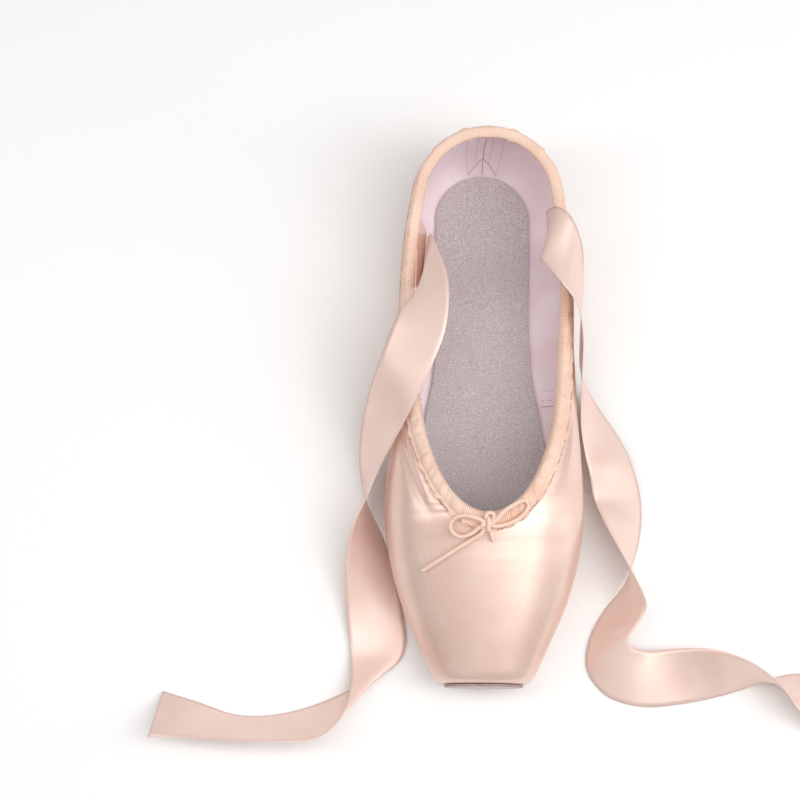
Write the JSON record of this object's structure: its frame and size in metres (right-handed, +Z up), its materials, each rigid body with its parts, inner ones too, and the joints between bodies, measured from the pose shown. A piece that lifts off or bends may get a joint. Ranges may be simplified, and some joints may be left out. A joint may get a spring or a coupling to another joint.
{
  "type": "pointe shoe",
  "caption": "Satin ballet pointe shoe, standing empty on its sole, with a tied drawstring and loose ankle ribbons.",
  "frame": {"origin": "on the floor, under the centre of the heel seat", "axes": "+Z up, -Y towards the toe platform, +X to the side where the longer run of ribbon lies"},
  "size_m": [0.3186, 0.2621, 0.0596],
  "materials": {
    "satin": "peach pink satin with a soft streaked sheen",
    "ribbon": "pink satin ribbon, smooth, with fine selvedges",
    "tape": "matt cotton tape with fine ribs across",
    "cord": "fine braided cotton cord",
    "lining": "matt cotton lining, pale mauve pink",
    "thread": "sewing thread",
    "leather": "natural tan sole leather, lightly buffed",
    "felt": "grey speckled felt",
    "suede": "taupe pink suede"
  },
  "bodies": {
    "root": {"upper": "satin", "outsole": "leather", "insole": "felt", "toe_patch": "suede", "binding": "tape", "bow_knot": "cord", "bow_loop_left": "cord", "bow_loop_right": "cord", "bow_end_long": "cord", "bow_end_short": "cord", "ribbon_left": "ribbon", "ribbon_right": "ribbon"}
  },
  "joints": []
}
